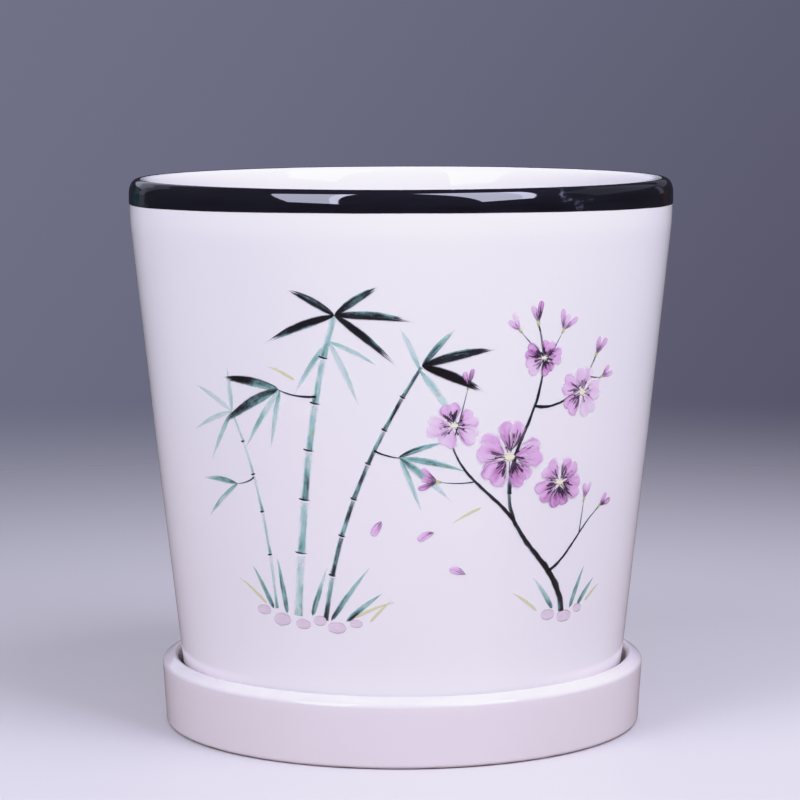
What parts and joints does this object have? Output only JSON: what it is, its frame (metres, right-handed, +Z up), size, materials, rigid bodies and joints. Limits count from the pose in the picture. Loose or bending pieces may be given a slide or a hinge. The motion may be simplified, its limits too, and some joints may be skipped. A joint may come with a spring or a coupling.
{
  "type": "flowerpot with saucer",
  "caption": "Round tapered ceramic flowerpot, glazed white with a dark rim band and a painted front, with a drain hole, standing in a low round saucer that it lifts out of.",
  "frame": {"origin": "centre of the saucer's foot ring, on the surface that it stands on", "axes": "+Z up along the axis of pot and saucer; -Y is the painted front; +X is to the right of someone who looks at the front"},
  "size_m": [0.144, 0.144, 0.1452],
  "materials": {
    "pot_glaze": "gloss",
    "band_glaze": "gloss",
    "saucer_glaze": "gloss"
  },
  "bodies": {
    "saucer": {"saucer": "saucer_glaze"},
    "pot": {"pot": "pot_glaze", "rim_band": "band_glaze"}
  },
  "joints": [
    {"name": "pot_lift", "type": "slide", "parent": "saucer", "child": "pot", "axis": [0, 0, 1], "range_m": [0, 0.04]}
  ]
}
